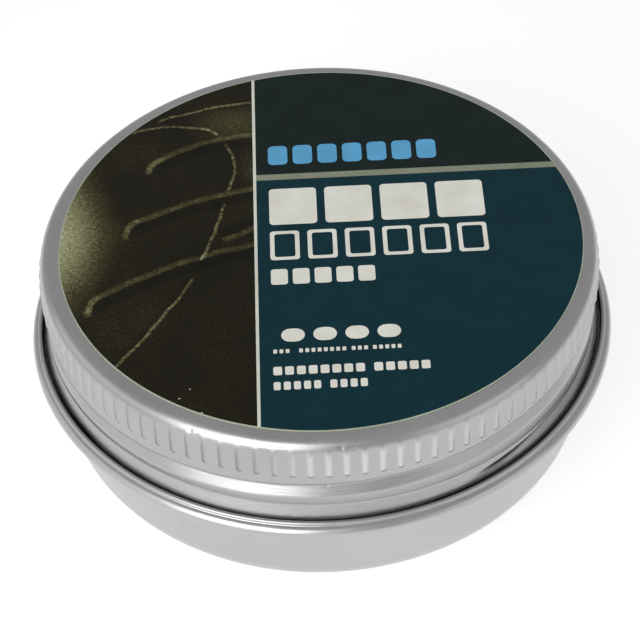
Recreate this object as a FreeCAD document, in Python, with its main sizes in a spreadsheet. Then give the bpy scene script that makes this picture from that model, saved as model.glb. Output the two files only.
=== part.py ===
"""Screw-top aluminium tin for shoe polish: drawn can, screw lid, sealing disc, wax and two paper labels.

Model frame in mm: +Z is up along the tin's axis, the origin is the middle of the plane the tin stands on,
and -Y is the front. The lid is shown screwed shut. Azimuths are in degrees, 0 at the front, and grow
anticlockwise seen from above, which is the way the lid opens.
"""
import FreeCAD, Part
import os
import Sketcher
from math import sqrt

V = FreeCAD.Vector

# name, size in mm or degrees, what it is
DIMENSIONS = [
    ("total_height", 25.0, "top of the lid's label over the standing plane"),
    ("sheet", 0.4, "aluminium thickness"),
    ("paper", 0.12, "thickness of both labels"),
    ("play", 0.1, "wax to the can"),
    # can
    ("low_radius", 31.0, "can wall where the bottom corner begins"),
    ("high_radius", 32.2, "can wall under the bead"),
    ("wall_top", 11.35, "height where the bead begins"),
    ("corner", 4.0, "radius of the corner between wall and bottom"),
    ("foot_radius", 25.2, "inside of the ring the tin stands on"),
    ("panel_radius", 24.5, "recessed panel of the bottom"),
    ("panel_height", 0.6, "recessed panel over the standing plane"),
    ("bead_middle", 33.05, "middle of the bead's larger, lower crest"),
    ("bead_height", 12.45, "its height"),
    ("bead_round", 0.95, "its radius"),
    ("notch_height", 13.367, "height of the notch between the two crests, on the lower one's round"),
    ("crest_middle", 33.05, "middle of the bead's thin, upper crest"),
    ("crest_height", 13.55, "its height"),
    ("crest_round", 0.25, "its radius"),
    ("hollow_middle", 33.2, "middle of the hollow inside the bead"),
    ("hollow_height", 12.4, "its height"),
    ("hollow_round", 0.4, "its radius"),
    ("ledge_top", 12.75, "ledge inside the bead, which the lid's edge stops over"),
    ("neck_radius", 30.8, "outside of the neck"),
    ("curl", 0.8, "radius of the curl round the mouth"),
    # lid
    ("lid_radius", 31.9, "lid wall"),
    ("shoulder_round", 1.75, "radius of the shoulder between top and wall"),
    ("rib_middle", 31.705, "middle of a knurled rib's round"),
    ("rib_round", 0.445, "radius of a rib"),
    ("rib_low", 5.2, "lower end of the ribs under the lid's top"),
    ("rib_high", 1.2, "upper end of the ribs under the lid's top"),
    ("rib_count", 104, "ribs round the lid"),
    ("flare_height", 15.2, "height where the lid wall flares out to its hem"),
    ("hem_middle", 32.1, "middle of the rolled lower edge"),
    ("hem_height", 13.25, "its height"),
    ("hem_round", 0.3, "its radius"),
    # right-hand thread with one start
    ("pitch", 4.2, "lift per turn"),
    ("ridge", 0.48, "thread ridge over its wall"),
    ("groove", 0.25, "groove rolled in behind the ridge"),
    ("overlap", 0.12, "depth of a ridge's root in its wall"),
    ("root_half", 0.6, "half width of a ridge at its root"),
    ("crest_half", 0.22, "half width of a ridge at its crest"),
    ("lid_thread", 18.0, "height of the lid's ridge at azimuth 0"),
    ("lid_thread_start", -335.0, "azimuth where the lid's ridge begins"),
    ("lid_thread_end", 80.0, "azimuth where the lid's ridge ends"),
    ("neck_thread", 19.35, "height of the neck's ridge at azimuth 0"),
    ("neck_thread_start", -290.0, "azimuth where the neck's ridge begins"),
    ("neck_thread_end", 110.0, "azimuth where the neck's ridge ends"),
    # label, sealing disc and wax
    ("label_radius", 29.9, "label on the lid"),
    ("label_right", 0.3, "how far to the right of the axis it is stuck"),
    ("label_forward", 0.2, "how far to the front"),
    ("lower_label_radius", 23.0, "label under the can"),
    ("disc_radius", 30.9, "sealing disc"),
    ("disc_height", 1.2, "its thickness"),
    ("disc_edge", 0.5, "height of its straight edge, under a bevel"),
    ("disc_bevel", 1.0, "width of the bevel"),
    ("disc_gap", 0.05, "sealing disc to the lid above it and to the can's mouth below"),
    ("wax_level", 17.0, "surface of the wax"),
    ("wax_floor", 1.1, "underside of the wax"),
]
value = {name: number for name, number, meaning in DIMENSIONS}
doc = FreeCAD.newDocument("tin")
dims = doc.addObject("Spreadsheet::Sheet", "dims")
for row, (name, number, meaning) in enumerate(DIMENSIONS, start=1):
    dims.set("A%d" % row, name)
    dims.set("B%d" % row, str(number))
    dims.set("C%d" % row, meaning)
    dims.setAlias("B%d" % row, name)
doc.recompute()

# Sums of sheet names that several pieces share.
LID_TOP = "total_height - paper"
MOUTH_TOP = LID_TOP + " - sheet - disc_gap - disc_height - disc_gap"
CURL_MIDDLE = MOUTH_TOP + " - curl"


def total(text):
    """Number for a sum of sheet names and plain numbers, such as "lid_radius - sheet"."""
    result, sign = 0.0, 1
    for word in text.split():
        if word in ("+", "-"):
            sign = 1 if word == "+" else -1
        else:
            result += sign * (value[word] if word in value else float(word))
    return result


def bound(text):
    """The same sum as an expression on the sheet's cells."""
    return " ".join("dims." + word if word in value else word for word in text.split())


def make_body(name):
    body = doc.addObject("PartDesign::Body", name)
    body.Label = name
    return body


def origin_item(body, role):
    return next(item for item in body.Origin.OriginFeatures if item.Role == role)


def bind_point(sketch, edge, corner, across, up):
    """Hold an edge's end at a distance across and up from the sketch's origin, each a sum of cells."""
    for kind, text, axis in (("DistanceX", across, -2), ("DistanceY", up, -1)):
        if total(text) == 0:
            sketch.addConstraint(Sketcher.Constraint("PointOnObject", edge, corner, axis))
            continue
        index = sketch.addConstraint(Sketcher.Constraint(kind, -1, 1, edge, corner, total(text)))
        sketch.setExpression("Constraints[%d]" % index, bound(text))


def draw_outline(sketch, outline):
    """Closed outline of lines and arcs, each entry the edge that ends there.

    A corner is (across, up). An arc adds its radius and the side its centre is on, seen along the path.
    """
    across, up = outline[-1][:2]
    start = V(total(across), total(up), 0)
    ends = []
    for edge, entry in enumerate(outline):
        end = V(total(entry[0]), total(entry[1]), 0)
        if len(entry) == 2:
            sketch.addGeometry(Part.LineSegment(start, end), False)
            first, last = 1, 2
        else:
            radius, left = total(entry[2]), entry[3] == "left"
            chord = end - start
            half = chord.Length / 2
            normal = V(-chord.y, chord.x, 0) / chord.Length * (1 if left else -1)
            centre = (start + end) / 2 + normal * sqrt(max(radius ** 2 - half ** 2, 0))
            middle = centre - normal * radius
            sketch.addGeometry(Part.Arc(start, middle, end), False)
            first, last = (1, 2) if left else (2, 1)
            index = sketch.addConstraint(Sketcher.Constraint("Radius", edge, radius))
            sketch.setExpression("Constraints[%d]" % index, bound(entry[2]))
        ends.append((first, last))
        start = end
    for edge, entry in enumerate(outline):
        following = (edge + 1) % len(outline)
        joint = Sketcher.Constraint("Coincident", edge, ends[edge][1], following, ends[following][0])
        sketch.addConstraint(joint)
        bind_point(sketch, edge, ends[edge][1], entry[0], entry[1])


def make_sketch(body, name, outline, plane="XZ_Plane", azimuth=90, up=0):
    """Outline on a body's origin plane, turned to an azimuth and raised.

    On the XZ plane, across is the distance from the axis and up is the height. On the XY plane, across is X.
    """
    sketch = body.newObject("Sketcher::SketchObject", name)
    sketch.AttachmentSupport = (origin_item(body, plane), "")
    sketch.MapMode = "FlatFace"
    if plane == "XZ_Plane":
        sketch.AttachmentOffset = FreeCAD.Placement(V(0, up, 0), FreeCAD.Rotation(V(0, 1, 0), azimuth - 90))
    else:
        sketch.AttachmentOffset = FreeCAD.Placement(V(0, 0, up), FreeCAD.Rotation())
    draw_outline(sketch, outline)
    return sketch


def turn_outline(body, name, outline):
    """Solid of revolution about the tin's axis, with its seam at the back, between two ribs."""
    feature = body.newObject("PartDesign::Revolution", name)
    feature.Profile = make_sketch(body, name + "_outline", outline, azimuth=180 + 180 / value["rib_count"])
    feature.ReferenceAxis = (origin_item(body, "Z_Axis"), [""])
    feature.Angle = 360
    return feature


def add_helix(body, kind, name, thread, root, crest):
    """Ridge or groove of a thread, tapering from its root to its crest, both distances from the axis."""
    begin = thread + "_start"
    height = value[thread] + value["pitch"] * value[begin] / 360
    section = make_sketch(body, name + "_section", [
        (root, "0 - root_half"),
        (crest, "0 - crest_half"),
        (crest, "crest_half"),
        (root, "root_half"),
    ], azimuth=value[begin], up=height)
    section.setExpression(".AttachmentOffset.Base.y", "dims.%s + dims.pitch * dims.%s / 360" % (thread, begin))
    feature = body.newObject(kind, name)
    feature.Profile = section
    feature.ReferenceAxis = (origin_item(body, "Z_Axis"), [""])
    feature.Mode = "pitch-turns-angle"
    feature.setExpression("Pitch", "dims.pitch")
    feature.setExpression("Turns", "(dims.%s_end - dims.%s) / 360" % (thread, begin))
    return feature


def make_base_can():
    """Can drawn from one sheet: recessed bottom, round corner, flared wall, double bead, neck and curl."""
    body = make_body("base_can")
    turn_outline(body, "can_sheet", [
        ("0", "panel_height"),
        ("panel_radius", "panel_height"),
        ("foot_radius", "0"),
        ("low_radius - corner", "0"),
        ("low_radius", "corner", "corner", "left"),
        ("high_radius", "wall_top"),
        ("bead_middle", "bead_height - bead_round"),
        ("bead_middle + bead_round", "bead_height", "bead_round", "left"),
        ("crest_middle + crest_round", "notch_height", "bead_round", "left"),
        ("crest_middle + crest_round", "crest_height"),
        ("crest_middle", "crest_height + crest_round", "crest_round", "left"),
        ("crest_middle - crest_round", "crest_height", "crest_round", "left"),
        ("crest_middle - crest_round", "ledge_top"),
        ("neck_radius + curl", "ledge_top"),
        ("neck_radius", "ledge_top - sheet", "curl", "left"),
        ("neck_radius", CURL_MIDDLE),
        ("neck_radius - curl", MOUTH_TOP, "curl", "left"),
        ("neck_radius - curl - curl", CURL_MIDDLE, "curl", "left"),
        ("neck_radius - curl", CURL_MIDDLE + " - curl", "curl", "left"),
        ("neck_radius - sheet", CURL_MIDDLE + " - curl"),
        ("neck_radius - sheet", "ledge_top - sheet - sheet"),
        ("high_radius", "ledge_top - sheet - sheet"),
        ("hollow_middle - hollow_round", "hollow_height"),
        ("hollow_middle", "hollow_height + hollow_round", "hollow_round", "right"),
        ("hollow_middle + hollow_round", "hollow_height", "hollow_round", "right"),
        ("hollow_middle", "hollow_height - hollow_round", "hollow_round", "right"),
        ("high_radius - sheet", "wall_top + sheet"),
        ("low_radius - sheet", "corner"),
        ("low_radius - corner", "sheet", "corner - sheet", "right"),
        ("foot_radius", "sheet"),
        ("panel_radius", "panel_height + sheet"),
        ("0", "panel_height + sheet"),
    ])
    add_helix(body, "PartDesign::AdditiveHelix", "neck_ridge", "neck_thread",
              "neck_radius - overlap", "neck_radius + ridge")
    add_helix(body, "PartDesign::SubtractiveHelix", "neck_groove", "neck_thread",
              "neck_radius - sheet - overlap", "neck_radius - sheet + groove")
    return body


def make_lid():
    """Lid drawn from one sheet: flat top, round shoulder, knurled ribs, rolled thread and hemmed edge."""
    body = make_body("lid")
    inside = "lid_radius - sheet"
    shoulder_start = "lid_radius - shoulder_round"
    shoulder_foot = LID_TOP + " - shoulder_round"
    turn_outline(body, "lid_sheet", [
        ("0", LID_TOP + " - sheet"),
        (shoulder_start, LID_TOP + " - sheet"),
        (inside, shoulder_foot, "shoulder_round - sheet", "right"),
        (inside, "hem_height + hem_round"),
        ("hem_middle - hem_round", "hem_height"),
        ("hem_middle", "hem_height - hem_round", "hem_round", "left"),
        ("hem_middle + hem_round", "hem_height", "hem_round", "left"),
        ("lid_radius", "flare_height"),
        ("lid_radius", shoulder_foot),
        (shoulder_start, LID_TOP, "shoulder_round", "left"),
        ("0", LID_TOP),
    ])
    rib_foot = LID_TOP + " - rib_low"
    section = make_sketch(body, "rib_section", [
        ("rib_middle", "0 - rib_round"),
        ("rib_middle + rib_round", "0", "rib_round", "left"),
        ("rib_middle", "rib_round", "rib_round", "left"),
    ], plane="XY_Plane", up=total(rib_foot))
    section.setExpression(".AttachmentOffset.Base.z", bound(rib_foot))
    rib = body.newObject("PartDesign::Pad", "rib")
    rib.Profile = section
    rib.setExpression("Length", "dims.rib_low - dims.rib_high")
    doc.recompute()
    ribs = body.newObject("PartDesign::PolarPattern", "ribs")
    ribs.Originals = [rib]
    ribs.Axis = (origin_item(body, "Z_Axis"), [""])
    ribs.Angle = 360
    ribs.setExpression("Occurrences", "dims.rib_count")
    body.Tip = ribs
    doc.recompute()
    add_helix(body, "PartDesign::AdditiveHelix", "lid_ridge", "lid_thread",
              inside + " + overlap", inside + " - ridge")
    add_helix(body, "PartDesign::SubtractiveHelix", "lid_groove", "lid_thread",
              "lid_radius + overlap", "lid_radius - groove")
    return body


def make_liner():
    """Sealing disc, bevelled to sit in the lid's round shoulder."""
    body = make_body("liner")
    turn_outline(body, "disc", [
        ("disc_radius", "0"),
        ("disc_radius", "disc_edge"),
        ("disc_radius - disc_bevel", "disc_height"),
        ("0", "disc_height"),
        ("0", "0"),
    ])
    body.setExpression(".Placement.Base.z", bound(MOUTH_TOP + " + disc_gap"))
    return body


def make_polish():
    """Wax poured into the can up to a few millimetres under the mouth."""
    body = make_body("polish")
    corner_round = "corner - sheet - play"
    turn_outline(body, "wax", [
        ("low_radius - corner", "wax_floor"),
        ("low_radius - sheet - play - play", "wax_floor + corner - sheet", corner_round, "left"),
        ("high_radius - sheet - play", "wall_top + sheet"),
        ("high_radius - sheet - play", "ledge_top - sheet - sheet - play"),
        ("neck_radius - sheet - play", "ledge_top - sheet - sheet - play"),
        ("neck_radius - sheet - play", "wax_level"),
        ("0", "wax_level"),
        ("0", "wax_floor"),
    ])
    return body


def make_label(name, radius, height, right="0", forward="0"):
    """Round paper label; right, forward and height place the middle of its underside."""
    label = doc.addObject("Part::Cylinder", name)
    label.Label = name
    label.setExpression("Radius", bound(radius))
    label.setExpression("Height", "dims.paper")
    label.setExpression(".Placement.Base.x", bound(right))
    label.setExpression(".Placement.Base.y", bound("0 - " + forward))
    label.setExpression(".Placement.Base.z", bound(height))
    return label


pieces = [
    make_base_can(),
    make_lid(),
    make_liner(),
    make_polish(),
    make_label("lid_label", "label_radius", LID_TOP, "label_right", "label_forward"),
    make_label("base_label", "lower_label_radius", "panel_height - paper"),
]
doc.recompute()
for item in doc.Objects:
    if "Invalid" in item.State or "Error" in item.State:
        raise RuntimeError("%s failed: %s" % (item.Label, item.State))
for piece in pieces:
    if piece.Shape.isNull() or not piece.Shape.isValid() or len(piece.Shape.Solids) != 1:
        raise RuntimeError("%s is not one valid solid" % piece.Label)
os.makedirs("parts", exist_ok=True)
for piece in pieces:
    piece.Shape.exportStep("parts/%s.step" % piece.Label)
    box = piece.Shape.BoundBox
    print("%s: %.1f mm3, radius %.2f, z %.2f to %.2f" % (piece.Label, piece.Shape.Volume, box.XMax, box.ZMin, box.ZMax))
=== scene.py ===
"""Studio scene of a screw-top aluminium shoe polish tin.

Shapes are worked out in millimetres and azimuths in degrees (0 at the front, -Y, anticlockwise from above),
and become metres when a mesh is made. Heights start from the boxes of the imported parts.
"""
from math import acos, atan2, cos, degrees, hypot, pi, radians, sin, sqrt

import bpy
import numpy as np
from mathutils import Matrix, Vector
from mathutils.geometry import delaunay_2d_cdt


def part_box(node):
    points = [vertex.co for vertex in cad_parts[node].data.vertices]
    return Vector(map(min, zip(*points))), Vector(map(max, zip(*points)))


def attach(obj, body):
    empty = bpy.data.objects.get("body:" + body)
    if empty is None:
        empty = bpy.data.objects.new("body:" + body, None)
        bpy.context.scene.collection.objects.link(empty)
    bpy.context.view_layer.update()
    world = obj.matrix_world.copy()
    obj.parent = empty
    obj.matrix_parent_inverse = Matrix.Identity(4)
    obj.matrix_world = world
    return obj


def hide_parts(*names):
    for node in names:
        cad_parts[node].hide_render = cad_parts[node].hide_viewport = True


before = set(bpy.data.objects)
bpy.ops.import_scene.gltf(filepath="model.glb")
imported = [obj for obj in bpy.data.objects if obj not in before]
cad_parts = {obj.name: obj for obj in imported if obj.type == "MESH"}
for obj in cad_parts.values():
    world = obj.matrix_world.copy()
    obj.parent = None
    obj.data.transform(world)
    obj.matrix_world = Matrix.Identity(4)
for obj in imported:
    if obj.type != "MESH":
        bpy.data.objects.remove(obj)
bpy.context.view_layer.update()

MM = 0.001


# ---------------------------------------------------------------- sizes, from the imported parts
def top_of(node):
    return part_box(node)[1].z / MM


def foot_of(node):
    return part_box(node)[0].z / MM


def reach_of(node):
    low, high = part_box(node)
    return (high.x - low.x) / 2 / MM


SHEET = 0.4   # aluminium thickness
LABEL_TOP = top_of("lid_label")
LID_TOP = foot_of("lid_label")
LABEL_R = reach_of("lid_label")
LABEL_MIDDLE = tuple(sum(corner[axis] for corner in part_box("lid_label")) / 2 / MM for axis in (0, 1))
MOUTH_TOP = top_of("base_can")
BEAD_R = reach_of("base_can")
DISC_TOP = top_of("liner")
DISC_FOOT = foot_of("liner")
DISC_R = reach_of("liner")
WAX_TOP = top_of("polish")
LOWER_LABEL_R = reach_of("base_label")
LOWER_LABEL_FOOT = foot_of("base_label")
PANEL_HEIGHT = top_of("base_label")

# Thread: right-hand, one start. A ridge's height at an azimuth is its height at the front plus the climb.
PITCH = 4.2
LID_THREAD = 18.0
LID_THREAD_ENDS = (-335.0, 80.0)
NECK_THREAD = 19.35
NECK_THREAD_ENDS = (-290.0, 110.0)

RIBS = 104
COLUMNS_PER_RIB = 12
CAN_COLUMNS = 720
PLAIN_COLUMNS = 256   # round the disc and the wax

LID_INSIDE = 31.0    # the lid's wall is outside this radius, and the can's neck inside it
LID_MIDDLE = 31.7    # between the two faces of the lid's wall


# ---------------------------------------------------------------- outlines
def line(start, end, count=1):
    """Points from start to end, without the first."""
    steps = np.linspace(0, 1, count + 1)[1:, None]
    return list(np.array(start) * (1 - steps) + np.array(end) * steps)


def arc(centre, radius, first, last, count=8):
    """Points on a circle from one angle to another, in degrees from outwards, up positive."""
    angles = np.radians(np.linspace(first, last, count + 1))
    return [np.array((centre[0] + radius * cos(a), centre[1] + radius * sin(a))) for a in angles]


def smooth(x, low, high):
    """0 below low, 1 above high, and an even ease between them."""
    t = np.clip((x - low) / (high - low), 0, 1)
    return t * t * (3 - 2 * t)


def lathe(name, outline, columns, push=None):
    """Closed solid turned from an outline of (radius, height) that starts and ends on the axis.

    push(azimuth, points) gives how far each outline point moves outwards at an azimuth.
    """
    points = np.array(outline)
    ring = points[1:-1]
    vertices = [(0, 0, points[0][1]), (0, 0, points[-1][1])]
    faces = []
    count = len(ring)
    for column in range(columns):
        azimuth = 360.0 * column / columns
        shift = push(azimuth, ring) if push else 0
        radius = ring[:, 0] + shift
        turn = radians(azimuth)
        across, along = sin(turn), -cos(turn)
        vertices += [(r * across, r * along, z) for r, z in zip(radius, ring[:, 1])]
        here = 2 + column * count
        there = 2 + (column + 1) % columns * count
        faces.append((0, here, there))
        faces.append((1, there + count - 1, here + count - 1))
        faces += [(here + i, here + i + 1, there + i + 1, there + i) for i in range(count - 1)]
    return make_mesh(name, vertices, faces)


def make_mesh(name, vertices, faces, smooth_faces=True):
    mesh = bpy.data.meshes.new(name)
    mesh.from_pydata([Vector(v) * MM for v in vertices], [], faces)
    mesh.validate()
    mesh.update()
    if smooth_faces:
        mesh.shade_smooth()
    piece = bpy.data.objects.new(name, mesh)
    bpy.context.scene.collection.objects.link(piece)
    return piece


def place(piece, body, node, material):
    """The piece rides on a body and stands in for a CAD node, which it hides; it takes the material given, if
    any.
    """
    if material:
        piece.data.materials.append(material)
    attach(piece, body)
    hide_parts(node)


# ---------------------------------------------------------------- rolled shapes in the sheet
def wrapped(angle):
    """The same angle between -180 and 180 degrees."""
    return (angle + 180) % 360 - 180


def thread_depth(azimuth, height, front, ends, upper, lower):
    """1 on a thread's line, falling to 0 over upper above it and over lower below it, and past its ends."""
    depth = np.zeros_like(height)
    for turn in (-1, 0):
        angle = azimuth + 360 * turn
        fade = smooth(angle, ends[0], ends[0] + 25) * (1 - smooth(angle, ends[1] - 25, ends[1]))
        if fade <= 0:
            continue
        over = height - (front + PITCH * angle / 360)
        above = 1 - smooth(over, 0, upper)
        below = np.clip((lower + over) / (lower - 0.2), 0, 1)
        depth = np.maximum(depth, fade * np.where(over > 0, above, below))
    return depth


# Small knocks in the lid: azimuth, height under the lid's top, depth
LID_DENTS = [(-27, 0.9, 0.07), (-25.5, 1.2, 0.04), (2.5, 1.0, 0.07), (5.0, 1.2, 0.05), (-0.5, 6.9, 0.10)]
RIB_HALF = 0.38     # half width
RIB_HEIGHT = 0.22   # over the wall
RIB_LOW = 5.2       # lower end, under the lid's top
RIB_HIGH = 1.0      # upper end, where the ribs begin to fade in
LID_GROOVE = 0.63   # depth of the lid's rolled thread
GROOVE_INSIDE = 0.78   # share of that depth on the inside, where the sheet is thinned
NECK_RIDGE = 0.48   # height of the neck's rolled thread
DENT_WIDTH = 0.22


def lid_push(azimuth, ring):
    """Knurled ribs out, rolled thread in, and a few knocks."""
    radius, height = ring[:, 0], ring[:, 1]
    under = LID_TOP - height
    wall = radius > LID_INSIDE
    pitch = 360 / RIBS
    aside = radians((azimuth + pitch / 2) % pitch - pitch / 2) * radius
    low = np.maximum(under - RIB_LOW + RIB_HALF, 0)
    off = np.clip(np.hypot(aside, low) / RIB_HALF, 0, 1)
    push = RIB_HEIGHT * np.cos(off * pi / 2) ** 1.3 * smooth(under, RIB_HIGH, RIB_HIGH + 1.5) * wall
    groove = LID_GROOVE * np.where(radius > LID_MIDDLE, 1.0, GROOVE_INSIDE)
    push -= groove * thread_depth(azimuth, height, LID_THREAD, LID_THREAD_ENDS, 0.6, 1.55) * wall
    for dent_azimuth, dent_under, depth in LID_DENTS:
        away = np.hypot(radians(wrapped(azimuth - dent_azimuth)) * radius, under - dent_under)
        push -= depth * np.exp(-(away / DENT_WIDTH) ** 2) * wall
    return push


def neck_push(azimuth, ring):
    """The neck's rolled thread, out."""
    radius, height = ring[:, 0], ring[:, 1]
    neck = (radius < LID_INSIDE) & (height > 13.2) & (height < MOUTH_TOP - 1.7)
    ridge = thread_depth(azimuth, height, NECK_THREAD, NECK_THREAD_ENDS, 0.8, 0.8)
    return NECK_RIDGE * np.sqrt(ridge) * neck


# ---------------------------------------------------------------- materials
class Nodes:
    """Short names for building a material's nodes."""

    def __init__(self, name):
        self.material = bpy.data.materials.new(name)
        self.material.use_nodes = True
        self.tree = self.material.node_tree
        self.shader = self.tree.nodes["Principled BSDF"]

    def add(self, kind, inputs=(), **settings):
        node = self.tree.nodes.new(kind)
        for key, setting in settings.items():
            setattr(node, key, setting)
        for key, source in dict(inputs).items():
            self.feed(node.inputs[key], source)
        return node

    def feed(self, socket, source):
        if isinstance(source, bpy.types.NodeSocket):
            self.tree.links.new(source, socket)
        else:
            socket.default_value = source

    def math(self, operation, *values, clamp=False):
        node = self.add("ShaderNodeMath", operation=operation, use_clamp=clamp)
        for socket, source in zip(node.inputs, values):
            self.feed(socket, source)
        return node.outputs[0]

    def vector(self, operation, *values):
        node = self.add("ShaderNodeVectorMath", operation=operation)
        for socket, source in zip(node.inputs, values):
            self.feed(socket, source)
        return node.outputs["Value" if operation in ("LENGTH", "DOT_PRODUCT") else "Vector"]

    def place(self):
        """Position in the piece's own space, in millimetres."""
        spot = self.add("ShaderNodeTexCoord").outputs["Object"]
        return self.scaled(spot, 1 / MM)

    def scaled(self, vector, factor):
        node = self.add("ShaderNodeVectorMath", operation="SCALE")
        self.feed(node.inputs[0], vector)
        self.feed(node.inputs["Scale"], factor)
        return node.outputs["Vector"]

    def noise(self, vector, scale, detail=2.0, roughness=0.5):
        node = self.add("ShaderNodeTexNoise", {"Vector": vector, "Scale": scale, "Detail": detail,
                                               "Roughness": roughness})
        return node.outputs["Fac"]

    def range(self, value, low, high, to_low=0.0, to_high=1.0, kind="LINEAR"):
        """Value from low to high, mapped and held to to_low to to_high."""
        node = self.add("ShaderNodeMapRange", {"Value": value, "From Min": low, "From Max": high,
                                               "To Min": to_low, "To Max": to_high}, interpolation_type=kind)
        return node.outputs["Result"]

    def ramp(self, value, stops, interpolation="LINEAR"):
        """Colour at a value, from stops of (position, colour or grey)."""
        node = self.add("ShaderNodeValToRGB", {"Fac": value})
        ramp = node.color_ramp
        ramp.interpolation = interpolation
        while len(ramp.elements) < len(stops):
            ramp.elements.new(0.5)
        for element, (position, colour) in zip(ramp.elements, stops):
            element.position = position
            element.color = (*colour, 1) if isinstance(colour, tuple) else (colour, colour, colour, 1)
        return node.outputs["Color"]

    def mix(self, factor, first, second):
        node = self.add("ShaderNodeMix", data_type="RGBA")
        self.feed(node.inputs["Factor"], factor)
        for key, source in (("A", first), ("B", second)):
            socket = [s for s in node.inputs if s.name == key and s.type == "RGBA"][0]
            self.feed(socket, (*source, 1) if isinstance(source, tuple) else source)
        return [s for s in node.outputs if s.type == "RGBA"][0]

    def bump(self, height, distance):
        """Bump from a height of 0 to 1, with the distance in millimetres."""
        node = self.add("ShaderNodeBump", {"Height": height, "Distance": distance * MM, "Strength": 1.0})
        return node.outputs["Normal"]

    def finish(self, colour, roughness, normal=None, **constants):
        """The material, with constants set on the shader's own sockets."""
        self.feed(self.shader.inputs["Base Color"], (*colour, 1) if isinstance(colour, tuple) else colour)
        self.feed(self.shader.inputs["Roughness"], roughness)
        if normal:
            self.feed(self.shader.inputs["Normal"], normal)
        for key, constant in constants.items():
            self.shader.inputs[key.replace("_", " ")].default_value = constant
        return self.material


def srgb(red, green, blue):
    """Linear colour from 8-bit sRGB."""
    values = [c / 255 for c in (red, green, blue)]
    return tuple(c / 12.92 if c < 0.04045 else ((c + 0.055) / 1.055) ** 2.4 for c in values)


def aluminium(name, tone=0.48, roughness=0.30, paint_rib_light=False):
    """Satin drawn aluminium: fine rings left by drawing and trimming, soft stains, tiny scratches."""
    nodes = Nodes(name)
    spot = nodes.place()
    parts = nodes.add("ShaderNodeSeparateXYZ", {"Vector": spot})
    away = nodes.vector("LENGTH", nodes.vector("MULTIPLY", spot, (1, 1, 0)))
    drawn = nodes.math("SUBTRACT", parts.outputs["Z"], away)
    rings = nodes.add("ShaderNodeCombineXYZ", {
        "X": nodes.math("MULTIPLY", parts.outputs["X"], 0.05),
        "Y": nodes.math("MULTIPLY", parts.outputs["Y"], 0.05),
        "Z": drawn,
    }).outputs[0]
    fine = nodes.noise(rings, 5.0, 3.0, 0.6)
    broad = nodes.noise(spot, 0.09, 3.0, 0.55)
    grain = nodes.noise(spot, 9.0, 2.0, 0.6)
    colour = nodes.ramp(broad, [(0.3, tone * 0.94), (0.7, tone * 1.04)])
    shine = nodes.math("ADD", nodes.range(fine, 0.3, 0.7, roughness - 0.05, roughness + 0.05),
                       nodes.range(broad, 0.3, 0.7, -0.03, 0.04))
    height = nodes.math("ADD", nodes.math("MULTIPLY", fine, 0.7), nodes.math("MULTIPLY", grain, 0.3))
    # Painted light on the ribs: a painted highlight brightens the crests, painted shade darkens the left
    # flanks.
    if paint_rib_light:
        crests, flanks = rib_light_masks(nodes, parts)
        crest_lit = nodes.mix(crests, nodes.scaled(colour, 0.94), nodes.scaled(colour, 1.30))
        colour = nodes.mix(flanks, crest_lit, nodes.scaled(colour, 0.70))
    return nodes.finish(colour, shine, nodes.bump(height, 0.012), Metallic=1.0)


def rib_light_masks(nodes, parts):
    """Masks of painted light on the lid's ribs.

    The first is 1 along the crests on the front right, where a highlight is painted. The second is 1
    along the left flanks on the front left, where shade is painted.
    """
    x, y, z = (parts.outputs[axis] for axis in "XYZ")
    azimuth = nodes.math("ARCTAN2", x, nodes.math("MULTIPLY", y, -1.0))
    low = nodes.range(z, LID_TOP - RIB_LOW - 0.1, LID_TOP - RIB_LOW + 0.3)
    high = nodes.range(z, LID_TOP - 2.2, LID_TOP - 1.2, 1.0, 0.0)
    band = nodes.math("MULTIPLY", low, high)

    def stripes(aside, narrow, left, right):
        """1 along lines aside from the crests, by a share of the ribs' pitch, fading at both ends."""
        wave = nodes.math("COSINE", nodes.math("SUBTRACT", nodes.math("MULTIPLY", azimuth, float(RIBS)),
                                               2 * pi * aside))
        line = nodes.range(wave, narrow, 1.0, kind="SMOOTHSTEP")
        start = nodes.range(azimuth, radians(left[0]), radians(left[1]))
        end = nodes.range(azimuth, radians(right[0]), radians(right[1]), 1.0, 0.0)
        return nodes.math("MULTIPLY", nodes.math("MULTIPLY", line, band), nodes.math("MULTIPLY", start, end))

    return stripes(0.0, 0.0, (-14, -2), (10, 42)), stripes(-0.07, 0.55, (-88, -55), (-16, -4))


PRINT_GLOSS = 0.12   # specular level of the sealed print


def ink(name, colour, roughness=0.42, mottle=0.10):
    """Printed, sealed paper: the ink's colour, a slight mottle and the paper's fibres."""
    nodes = Nodes(name)
    spot = nodes.place()
    fibres = nodes.noise(spot, 6.0, 4.0, 0.7)
    cloud = nodes.noise(spot, 0.35, 2.0, 0.5)
    tone = nodes.math("ADD", nodes.math("MULTIPLY", fibres, 0.6), nodes.math("MULTIPLY", cloud, 0.4))
    low = tuple(c * (1 - mottle * 2) for c in colour)
    high = tuple(min(c * (1 + mottle * 2), 1) for c in colour)
    shade = nodes.mix(nodes.range(tone, 0.3, 0.7), low, high)
    rough = nodes.range(fibres, 0.3, 0.7, roughness - 0.04, roughness + 0.06)
    return nodes.finish(shade, rough, nodes.bump(fibres, 0.012), Specular_IOR_Level=PRINT_GLOSS)


def circle_through(first, middle, last):
    """Centre and radius of the circle through three points."""
    (ax, ay), (bx, by), (cx, cy) = first, middle, last
    d = 2 * (ax * (by - cy) + bx * (cy - ay) + cx * (ay - by))
    a, b, c = ax * ax + ay * ay, bx * bx + by * by, cx * cx + cy * cy
    x = (a * (by - cy) + b * (cy - ay) + c * (ay - by)) / d
    y = (a * (cx - bx) + b * (ax - cx) + c * (bx - ax)) / d
    return (x, y), hypot(ax - x, ay - y)


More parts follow.
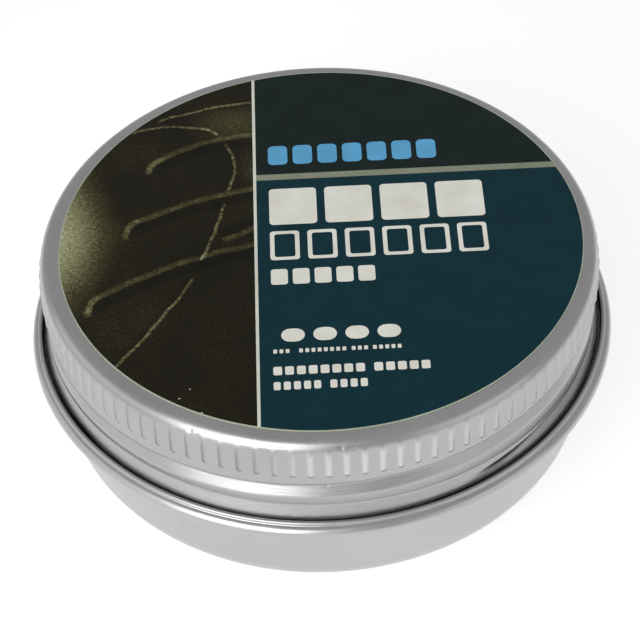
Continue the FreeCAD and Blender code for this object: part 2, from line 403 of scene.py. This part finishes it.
def arc_field(nodes, spot, first, middle, last, soft=0.04):
    """Distance outwards from an arc through three points, and 1 beside the arc, 0 past its ends."""
    centre, radius = circle_through(first, middle, last)
    offset = nodes.vector("SUBTRACT", spot, (*centre, 0))
    aside = nodes.math("SUBTRACT", nodes.vector("LENGTH", offset), radius)
    toward = [(x - centre[0], y - centre[1]) for x, y in (first, last)]
    aim = Vector((toward[0][0] + toward[1][0], toward[0][1] + toward[1][1], 0)).normalized()
    end = Vector((*toward[0], 0)).normalized().dot(aim)
    edge = cos(acos(min(end, 1)) + soft / radius)
    facing = nodes.vector("DOT_PRODUCT", nodes.vector("NORMALIZE", offset), tuple(aim))
    return aside, nodes.range(facing, edge, end + (end - edge) * 0.5, kind="SMOOTHSTEP")


# Lines of the leather picture, each an arc through three points, in millimetres on the label.
LACES = [
    ((-18.0, 14.5), (-13.6, 16.8), (-6.8, 18.2)),
    ((-20.7, 3.6), (-15.0, 6.3), (-6.8, 8.6)),
    ((-24.8, -8.7), (-17.3, -4.4), (-6.8, -1.0)),
    ((-10.8, 0.1), (-8.9, 1.0), (-6.8, 2.1)),
]
HOOKS = [
    ((-18.0, 14.5), (-19.1, 13.5), (-19.5, 12.3)),
    ((-20.7, 3.6), (-21.7, 2.4), (-21.9, 1.0)),
    ((-24.8, -8.7), (-25.6, -9.9), (-25.6, -11.2)),
]
SEAMS = [
    ((-21.8, 19.6), (-17.0, 20.4), (-12.9, 19.6)),
    ((-12.9, 19.6), (-12.2, 19.2), (-11.5, 18.5)),
    ((-10.5, 16.5), (-9.5, 13.2), (-10.3, 8.5)),
    ((-10.7, 6.2), (-11.6, 2.0), (-13.4, -3.2)),
    ((-14.3, -6.2), (-17.6, -12.2), (-22.6, -19.3)),
    ((-18.4, 21.6), (-12.8, 23.5), (-6.8, 24.4)),
]


def leather_print(name):
    """Printed close picture of dark, laced leather, drawn with arcs and grain."""
    nodes = Nodes(name)
    flat = nodes.vector("MULTIPLY", nodes.place(), (1, 1, 0))
    sway = nodes.add("ShaderNodeTexNoise", {"Vector": flat, "Scale": 0.30, "Detail": 2.0}).outputs["Color"]
    sway = nodes.scaled(nodes.vector("SUBTRACT", sway, (0.5, 0.5, 0.5)), 0.7)
    spot = nodes.vector("ADD", flat, nodes.vector("MULTIPLY", sway, (1, 1, 0)))
    grain = nodes.noise(flat, 2.2, 3.0, 0.8)
    speck = nodes.noise(flat, 5.0, 2.0, 0.6)
    cloud = nodes.noise(flat, 0.11, 3.0, 0.55)

    def patch(middle, size, strength):
        """Soft oval of light."""
        offset = nodes.vector("SUBTRACT", flat, (*middle, 0))
        away = nodes.vector("LENGTH", nodes.vector("MULTIPLY", offset, (1 / size[0], 1 / size[1], 0)))
        return nodes.range(away, 0.0, 1.0, strength, 0.0, "SMOOTHSTEP")

    light = nodes.range(cloud, 0.25, 0.75, 0.08, 0.17)
    for middle, size, strength in (((-31.0, 1.5), (9.5, 17.0), 0.68), ((-9.0, 20.5), (8.0, 5.0), 0.16),
                                   ((-22.0, -12.0), (9.0, 6.0), 0.05), ((-7.0, 12.5), (3.5, 5.0), 0.12)):
        light = nodes.math("ADD", light, patch(middle, size, strength))

    def ridge(arcs, lit, dark, width, along):
        """Lit line with a shaded side towards each arc's inside."""
        total = 0.0
        for points in arcs:
            aside, beside = arc_field(nodes, spot, *points, soft=0.5)
            profile = nodes.range(aside, -5 * width, 2.5 * width)
            curve = nodes.ramp(profile, [(0.0, 0.5), (0.25, 0.5 - dark), (0.52, 0.5 - dark),
                                         (0.62, 0.5 + lit), (0.74, 0.5 + lit), (0.90, 0.5)], "EASE")
            part = nodes.math("MULTIPLY", nodes.math("SUBTRACT", curve, 0.5),
                              nodes.math("MULTIPLY", beside, along))
            total = nodes.math("ADD", total, part)
        return total

    patchy = nodes.range(nodes.noise(flat, 0.75, 3.0, 0.7), 0.25, 0.7, 0.45, 1.3)
    light = nodes.math("ADD", light, ridge(LACES, 0.17, 0.07, 0.45, patchy))
    light = nodes.math("ADD", light, ridge(HOOKS, 0.26, 0.05, 0.42, patchy))
    stitched = nodes.range(nodes.noise(flat, 2.0, 2.0, 0.6), 0.35, 0.65, 0.5, 1.25)
    light = nodes.math("ADD", light, ridge(SEAMS, 0.30, 0.02, 0.20, stitched))
    texture = nodes.math("ADD", nodes.range(grain, 0.25, 0.75, -0.6, 0.6),
                         nodes.range(speck, 0.3, 0.7, -0.4, 0.4))
    gain = nodes.math("ADD", 0.045, nodes.math("MULTIPLY", light, 0.50))
    light = nodes.math("ADD", light, nodes.math("MULTIPLY", texture, gain), clamp=True)
    colour = nodes.ramp(light, [(0.0, srgb(12, 11, 4)), (0.14, srgb(30, 27, 12)), (0.32, srgb(72, 68, 40)),
                                (0.60, srgb(140, 142, 104)), (1.0, srgb(205, 205, 165))])
    return nodes.finish(colour, nodes.range(grain, 0.3, 0.7, 0.42, 0.52), nodes.bump(speck, 0.008),
                        Specular_IOR_Level=PRINT_GLOSS)


def foam(name):
    """White closed-cell foam board, pressed smooth."""
    nodes = Nodes(name)
    spot = nodes.place()
    cells = nodes.add("ShaderNodeTexVoronoi", {"Vector": spot, "Scale": 2.2}, feature="SMOOTH_F1").outputs[0]
    fine = nodes.noise(spot, 7.0, 3.0, 0.6)
    colour = nodes.ramp(nodes.noise(spot, 0.3, 3.0), [(0.3, srgb(228, 228, 222)), (0.7, srgb(242, 242, 238))])
    height = nodes.math("ADD", nodes.math("MULTIPLY", cells, 0.7), nodes.math("MULTIPLY", fine, 0.3))
    return nodes.finish(colour, nodes.range(cells, 0.1, 0.8, 0.55, 0.75), nodes.bump(height, 0.06),
                        Subsurface_Weight=0.15, Subsurface_Scale=0.001)


def wax(name):
    """Black wax poured hot: a satin skin with faint rings, frost and pin marks."""
    nodes = Nodes(name)
    spot = nodes.place()
    away = nodes.vector("LENGTH", nodes.vector("MULTIPLY", spot, (1, 1, 0)))
    drift = nodes.noise(spot, 0.12, 3.0, 0.6)
    rings = nodes.math("SINE", nodes.math("ADD", nodes.math("MULTIPLY", away, 0.9),
                                          nodes.math("MULTIPLY", drift, 14.0)))
    frost = nodes.noise(spot, 1.6, 5.0, 0.65)
    pits = nodes.add("ShaderNodeTexVoronoi", {"Vector": spot, "Scale": 0.55}).outputs["Distance"]
    colour = nodes.ramp(frost, [(0.35, srgb(16, 16, 17)), (0.62, srgb(24, 24, 26)), (0.8, srgb(44, 43, 44))])
    height = nodes.math("ADD", nodes.math("MULTIPLY", rings, 0.10), nodes.math("MULTIPLY", frost, 0.5))
    height = nodes.math("ADD", height, nodes.range(pits, 0.0, 0.12, -0.8, 0.0, "SMOOTHSTEP"))
    return nodes.finish(colour, nodes.range(frost, 0.3, 0.75, 0.26, 0.42), nodes.bump(height, 0.05),
                        Coat_Weight=0.25, Coat_Roughness=0.2)


def light_table(name):
    """Opal sheet, lit from below and fading away from the tin."""
    nodes = Nodes(name)
    spot = nodes.place()
    colour = nodes.ramp(nodes.noise(spot, 0.004, 2.0), [(0.3, 0.58), (0.7, 0.61)])
    glow = nodes.range(nodes.vector("LENGTH", spot), 60.0, 220.0, 0.64, 0.10, "SMOOTHSTEP")
    nodes.feed(nodes.shader.inputs["Emission Strength"], glow)
    return nodes.finish(colour, 0.9, Specular_IOR_Level=0.1, Emission_Color=(1, 1, 1, 1))


# ---------------------------------------------------------------- printed discs
def circle(radius, middle=(0, 0), count=256):
    """Closed outline, anticlockwise."""
    angles = [2 * pi * i / count for i in range(count)]
    return [(middle[0] + radius * cos(a), middle[1] + radius * sin(a)) for a in angles]


def block(left, right, low, high, corner=0.25, steps=4):
    """Rounded rectangle, anticlockwise."""
    corner = min(corner, (right - left) / 2.01, (high - low) / 2.01)
    centres = [(right - corner, high - corner), (left + corner, high - corner),
               (left + corner, low + corner), (right - corner, low + corner)]
    outline = []
    for quarter, (x, y) in enumerate(centres):
        for i in range(steps + 1):
            a = pi / 2 * (quarter + i / steps)
            outline.append((x + corner * cos(a), y + corner * sin(a)))
    return outline


def inside(outline, x, y):
    """True where a point lies in a closed outline."""
    hit = False
    for (ax, ay), (bx, by) in zip(outline, outline[1:] + outline[:1]):
        if (ay > y) != (by > y) and x < (bx - ax) * (y - ay) / (by - ay) + ax:
            hit = not hit
    return hit


def printed_disc(name, radius, middle, foot, top, marks, materials, face_up=True):
    """Thin paper disc with printed areas in its outer face.

    marks is a list of (outline, material number), later ones printed over earlier ones. Paper is number 0.
    """
    rim = circle(radius, middle)
    points = list(rim)
    loops = [list(range(len(rim)))]
    for outline, number in marks:
        loops.append(list(range(len(points), len(points) + len(outline))))
        points += outline
    edges = [(a, b) for loop in loops for a, b in zip(loop, loop[1:] + loop[:1])]
    flat, _, cuts, *_ = delaunay_2d_cdt([Vector(p) for p in points], edges, [], 1, 1e-5)
    level = top if face_up else foot
    back = foot if face_up else top
    vertices = [(p.x, p.y, level) for p in flat]
    boxes = [(min(x for x, y in o), max(x for x, y in o), min(y for x, y in o), max(y for x, y in o))
             for o, number in marks]
    faces, numbers = [], []
    for cut in cuts:
        x = sum(flat[i].x for i in cut) / len(cut)
        y = sum(flat[i].y for i in cut) / len(cut)
        number = 0
        for (outline, kind), (left, right, low, high) in zip(marks, boxes):
            if left <= x <= right and low <= y <= high and inside(outline, x, y):
                number = kind
        faces.append(tuple(cut) if face_up else tuple(reversed(cut)))
        numbers.append(number)
    hub = Vector(middle)
    ends = sorted((i for i, p in enumerate(flat) if (p - hub).length > radius - 1e-3),
                  key=lambda i: atan2(flat[i].y - hub.y, flat[i].x - hub.x))
    start = len(vertices)
    vertices += [(flat[i].x, flat[i].y, back) for i in ends]
    vertices.append((hub.x, hub.y, back))
    under_hub = len(vertices) - 1
    for i, end in enumerate(ends):
        following = (i + 1) % len(ends)
        side = (end, start + i, start + following, ends[following])
        under = (under_hub, start + following, start + i)
        faces.append(side if face_up else tuple(reversed(side)))
        faces.append(under if face_up else tuple(reversed(under)))
        numbers += [0, 0]
    piece = make_mesh(name, vertices, faces, smooth_faces=False)
    for material in materials:
        piece.data.materials.append(material)
    for face, number in zip(piece.data.polygons, numbers):
        face.material_index = number
    return piece


def word(left, low, high, widths, gap, number, corner=0.3):
    """A row of plain blocks that stands for a line of print."""
    marks = []
    for width in widths:
        marks.append((block(left, left + width, low, high, corner), number))
        left += width + gap
    return marks


def clip(outline, normal, limit):
    """The part of a convex outline where normal . point <= limit."""
    kept = []
    for start, end in zip(outline, outline[1:] + outline[:1]):
        a = normal[0] * start[0] + normal[1] * start[1] - limit
        b = normal[0] * end[0] + normal[1] * end[1] - limit
        if a <= 0:
            kept.append(start)
        if (a < 0 < b) or (b < 0 < a):
            share = a / (a - b)
            kept.append((start[0] + share * (end[0] - start[0]), start[1] + share * (end[1] - start[1])))
    return kept


def strip(area, left=None, right=None, low=None, high=None):
    """The part of a convex outline between the limits given."""
    for limit, normal in ((left, (-1, 0)), (right, (1, 0)), (low, (0, -1)), (high, (0, 1))):
        if limit is not None:
            sign = normal[0] + normal[1]
            area = clip(area, normal, limit * sign)
    return area


# ---------------------------------------------------------------- pieces
def make_lid(metal):
    """Lid drawn from one sheet: flat top, round shoulder, ribs, rolled thread, hemmed edge."""
    wall, shoulder = 31.9, 1.75
    bend = (wall - shoulder, LID_TOP - shoulder)
    inner = wall - SHEET
    flare_top, hem_r = 15.2, 0.2
    hem_out, hem_in, hem_up = 32.35, 31.95, 13.3
    outline = [np.array((0, LID_TOP))]
    outline += line((0, LID_TOP), (bend[0] - 0.4, LID_TOP), 3)
    outline += arc(bend, shoulder, 90, 0, 22)
    outline += line((wall, bend[1]), (wall, flare_top), 52)
    outline += line((wall, flare_top), (hem_out + hem_r, hem_up + 0.05), 9)
    outline += arc((hem_out, hem_up), hem_r, -5, -90, 5)
    outline += arc((hem_in, hem_up), hem_r, -90, -180, 4)
    outline += line((inner, hem_up + 0.4), (inner, bend[1]), 40)
    outline += arc(bend, shoulder - SHEET, 0, 90, 10)
    outline += line((bend[0] - 0.4, LID_TOP - SHEET), (0, LID_TOP - SHEET), 3)
    place(lathe("lid_shell", outline, RIBS * COLUMNS_PER_RIB, lid_push), "cap", "lid", metal)


def make_can(metal):
    """Can drawn from one sheet: recessed bottom, round corner, flared wall, double bead, neck and curl."""
    foot_r, panel_r, corner = 25.2, 24.5, 4.0
    low_r, high_r, wall_top = 31.0, 32.2, 11.35
    bead, bead_r = (BEAD_R - 0.95, 12.45), 0.95
    crest, crest_r = (BEAD_R - 0.95, 13.55), 0.25
    hollow, hollow_r = (BEAD_R - 0.8, 12.4), 0.4
    neck, curl = 30.8, 0.8
    ledge_top = 12.75
    curl_z = MOUTH_TOP - curl
    flare = degrees(atan2(high_r - low_r, wall_top - corner))
    outline = [np.array((0, PANEL_HEIGHT))]
    outline += line((0, PANEL_HEIGHT), (panel_r - 0.3, PANEL_HEIGHT), 6)
    outline += line((panel_r, PANEL_HEIGHT - 0.06), (foot_r, 0.08), 3)
    outline += line((foot_r, 0.08), (foot_r + 0.3, 0), 1)
    outline += arc((low_r - corner, corner), corner, -90, -flare, 18)
    outline += line(outline[-1], (high_r, wall_top), 16)
    outline += arc(bead, bead_r, -90, 74, 24)
    outline += arc(crest, crest_r, -15, 180, 14)
    outline += line((crest[0] - crest_r, crest[1]), (crest[0] - crest_r, ledge_top + 0.2), 2)
    outline += arc((crest[0] - crest_r - 0.2, ledge_top + 0.2), 0.2, -20, -90, 3)
    outline += line((crest[0] - crest_r - 0.2, ledge_top), (neck + 0.5, ledge_top - 0.03), 3)
    outline += arc((neck + 0.4, ledge_top + 0.37), 0.4, -110, -180, 4)
    outline += line((neck, ledge_top + 0.5), (neck, curl_z), 44)
    outline += arc((neck - curl, curl_z), curl, 0, 270, 20)
    outline += line((neck - SHEET, curl_z - curl), (neck - SHEET, ledge_top - 0.1), 44)
    outline += line((neck - SHEET + 0.1, ledge_top - SHEET), (hollow[0] - 0.5, ledge_top - SHEET), 2)
    outline += arc(hollow, hollow_r, 150, -90, 12)
    outline += line((high_r - SHEET, wall_top + 0.3), (low_r - SHEET, corner), 6)
    outline += arc((low_r - corner, corner), corner - SHEET, 0, -90, 10)
    outline += line((foot_r + 0.1, SHEET), (panel_r, PANEL_HEIGHT + SHEET), 2)
    outline += line((panel_r - 0.3, PANEL_HEIGHT + SHEET), (0, PANEL_HEIGHT + SHEET), 3)
    place(lathe("can_shell", outline, CAN_COLUMNS, neck_push), "can", "base_can", metal)


def make_liner(material):
    """Sealing disc with a shallow ring pressed into it by the can's mouth."""
    outline = [np.array((0, DISC_FOOT))]
    outline += line((0, DISC_FOOT), (29.4, DISC_FOOT), 8)
    for r in np.linspace(29.5, 30.5, 9):
        outline.append(np.array((r, DISC_FOOT + 0.08 * cos((r - 30.0) / 1.2 * pi) ** 2)))
    outline += arc((DISC_R - 0.2, DISC_FOOT + 0.2), 0.2, -90, 0, 4)
    outline += line((DISC_R, DISC_FOOT + 0.2), (DISC_R, DISC_FOOT + 0.5), 2)
    outline += line((DISC_R, DISC_FOOT + 0.5), (DISC_R - 1.0, DISC_TOP - 0.03), 3)
    outline += line((DISC_R - 1.1, DISC_TOP), (0, DISC_TOP), 6)
    place(lathe("sealing_disc", outline, PLAIN_COLUMNS), "disc", "liner", material)


def make_wax(material):
    """Wax with a slight hollow in the middle and a fillet where it wets the wall."""
    radius = 30.3

    def surface(r):
        hollow = -0.35 * cos(min(r / radius, 1) * pi / 2) ** 2
        climb = 0.45 * np.exp(-(radius - r) / 0.35)
        return WAX_TOP - 0.45 + hollow + climb

    outline = [np.array((0, 1.1))]
    outline += line((0, 1.1), (27.0, 1.1), 6)
    outline += arc((26.9, 4.6), 3.5, -90, 0, 8)
    outline += line((30.4, 4.7), (31.6, 10.4), 3)
    outline += line((31.6, 10.4), (31.6, 11.6), 1)
    outline += line((31.6, 11.65), (30.4, 11.8), 2)
    outline += line((30.3, 11.9), (radius, WAX_TOP - 0.3), 3)
    outline += [np.array((r, surface(r))) for r in radius - 0.02 - np.geomspace(0.03, radius - 0.1, 60)]
    outline.append(np.array((0, surface(0.0))))
    place(lathe("wax", outline, PLAIN_COLUMNS), "can", "polish", material)


# Specks where the print is chipped: right, back and half width
LABEL_CHIPS = [(-14.4, -23.2, 0.10), (-15.5, -24.5, 0.12), (-13.1, -26.7, 0.12)]


def make_lid_label():
    """Round printed label: a leather picture, a white rule, two dark panels and plain blocks for print."""
    materials = [
        ink("label_paper", srgb(178, 186, 166), 0.6),
        leather_print("label_leather_print"),
        ink("label_white", srgb(226, 228, 215)),
        ink("label_navy", srgb(19, 35, 33), mottle=0.14),
        ink("label_khaki", srgb(143, 148, 128)),
        ink("label_teal", srgb(5, 49, 59), mottle=0.14),
        ink("label_sky", srgb(100, 176, 222)),
        ink("label_cream", srgb(250, 247, 230)),
    ]
    paper, leather, white, navy, khaki, teal, sky, cream = range(8)
    printed = circle(LABEL_R - 0.11, LABEL_MIDDLE)
    rule = (-7.25, -6.90)
    band = (9.92, 10.92)
    marks = [
        (strip(printed, right=rule[0]), leather),
        (strip(printed, left=rule[0], right=rule[1]), white),
        (strip(printed, left=rule[1], low=band[1]), navy),
        (strip(printed, left=rule[1], low=band[0], high=band[1]), khaki),
        (strip(printed, left=rule[1], high=band[0]), teal),
    ]
    left = -5.45
    marks += word(left, 12.6, 16.0, [2.3] * 7, 0.64, sky, 0.6)
    marks += word(left, 2.1, 8.3, [5.5, 5.5, 5.5, 5.5], 0.95, cream, 0.5)
    letters = word(left, -3.8, 1.0, [3.35] * 6, 0.93, cream, 0.4)
    holes = word(left + 0.5, -3.3, 0.5, [2.35] * 6, 1.93, teal, 0.3)
    marks += letters + holes
    marks += word(left, -7.8, -5.3, [1.9] * 5, 0.55, cream, 0.35)
    marks += word(-4.5, -16.8, -14.8, [2.6] * 4, 0.9, cream, 1.0)
    for start, count in ((-5.4, 3), (-2.6, 8), (3.1, 3), (5.4, 5)):
        marks += word(start, -18.5, -17.9, [0.42] * count, 0.25, cream, 0.1)
    for start, count in ((left, 8), (5.4, 5)):
        marks += word(start, -21.75, -20.5, [0.95] * count, 0.32, cream, 0.2)
    for start, count in ((left, 5), (0.6, 4)):
        marks += word(start, -23.95, -22.75, [0.75] * count, 0.33, cream, 0.2)
    for x, y, size in LABEL_CHIPS:
        marks.append((block(x - size, x + size, y - size / 2, y + size / 2, size / 2), white))
    piece = printed_disc("top_label", LABEL_R, LABEL_MIDDLE, LID_TOP, LABEL_TOP, marks, materials)
    place(piece, "cap", "lid_label", None)


def make_base_label():
    """Plain label under the can: ruled lines of blocks and an empty frame."""
    materials = [ink("care_paper", srgb(226, 226, 218), 0.6), ink("care_ink", srgb(52, 56, 62), mottle=0.12)]
    rng = np.random.default_rng(7)
    marks = []
    for row in range(9):
        level = 11.5 - row * 2.4
        half = sqrt(max((LOWER_LABEL_R - 3.5) ** 2 - level ** 2, 1))
        across = -half
        while across < half - 1.5:
            width = float(rng.uniform(1.2, 4.2))
            width = min(width, half - across)
            marks.append((block(across, across + width, level, level + 0.9, 0.2), 1))
            across += width + 0.7
    marks.append((block(-9.0, 9.0, 15.6, 16.9, 0.3), 1))
    piece = printed_disc("care_label", LOWER_LABEL_R, (0, 0), LOWER_LABEL_FOOT, PANEL_HEIGHT, marks,
                         materials, face_up=False)
    place(piece, "can", "base_label", None)


def make_floor():
    """Lit table just under the tin."""
    half = 900
    floor = make_mesh("floor", [(-half, -half, 0), (half, -half, 0), (half, half, 0), (-half, half, 0)],
                      [(0, 1, 2, 3)], smooth_faces=False)
    floor.location.z = -0.05 * MM
    floor.data.materials.append(light_table("light_table"))


# ---------------------------------------------------------------- studio
LIGHT_TARGET = Vector((0, 0, 15)) * MM


def add_light(name, azimuth, elevation, distance, size, power):
    """Soft box aimed at the tin, in metres and watts; azimuth 0 is in front, positive to the right."""
    data = bpy.data.lights.new(name, "AREA")
    data.shape = "RECTANGLE"
    data.size, data.size_y = size
    data.energy = power
    light = bpy.data.objects.new(name, data)
    bpy.context.scene.collection.objects.link(light)
    turn, rise = radians(azimuth), radians(elevation)
    way = Vector((sin(turn) * cos(rise), -cos(turn) * cos(rise), sin(rise)))
    light.location = LIGHT_TARGET + way * distance
    light.rotation_euler = way.to_track_quat("Z", "Y").to_euler()
    return light


def light_studio():
    """Even grey surroundings, a wide key from the front left and a low fill on each side."""
    world = bpy.data.worlds.new("studio")
    world.use_nodes = True
    bpy.context.scene.world = world
    background = world.node_tree.nodes["Background"]
    background.inputs["Color"].default_value = (0.50, 0.50, 0.50, 1)
    background.inputs["Strength"].default_value = 1.0
    add_light("key", -30, 20, 0.7, (0.52, 0.56), 3.0)
    add_light("left", -85, 15, 0.7, (0.80, 0.40), 0.5)
    add_light("right", 55, 12, 0.7, (0.50, 0.32), 0.28)


CAMERA_TILT = 44.91
CAMERA_ROLL = -2.71
SENSOR = 36.0
LENS = 122.625
CAMERA_OFFSET = (-0.27, -9.66, 248.78)


def make_camera():
    """Long lens looking down at the front; the offset to the middle of the top is right, down and away."""
    tilt, roll = radians(CAMERA_TILT), radians(CAMERA_ROLL)
    across = Vector((1, 0, 0))
    down = Vector((0, -sin(tilt), -cos(tilt)))
    away = Vector((0, cos(tilt), -sin(tilt)))
    right = cos(roll) * across - sin(roll) * down
    under = sin(roll) * across + cos(roll) * down
    offset = Vector(CAMERA_OFFSET) * MM
    place_at = Vector((0, 0, LABEL_TOP * MM)) - (right * offset.x + under * offset.y + away * offset.z)
    data = bpy.data.cameras.new("camera")
    data.sensor_width = SENSOR
    data.lens = LENS
    data.clip_start = 0.01
    camera = bpy.data.objects.new("camera", data)
    bpy.context.scene.collection.objects.link(camera)
    camera.matrix_world = Matrix((
        (right.x, -under.x, -away.x, place_at.x),
        (right.y, -under.y, -away.y, place_at.y),
        (right.z, -under.z, -away.z, place_at.z),
        (0, 0, 0, 1),
    ))
    bpy.context.scene.camera = camera


# The lid's metal carries painted highlights on its rib crests and painted shade on their left flanks.
lid_metal = aluminium("lid_aluminium", paint_rib_light=True)
can_metal = aluminium("can_aluminium")
make_lid(lid_metal)
make_can(can_metal)
make_liner(foam("foam_board"))
make_wax(wax("black_wax"))
make_lid_label()
make_base_label()
make_floor()
light_studio()
make_camera()
bpy.context.scene.view_settings.view_transform = "Standard"
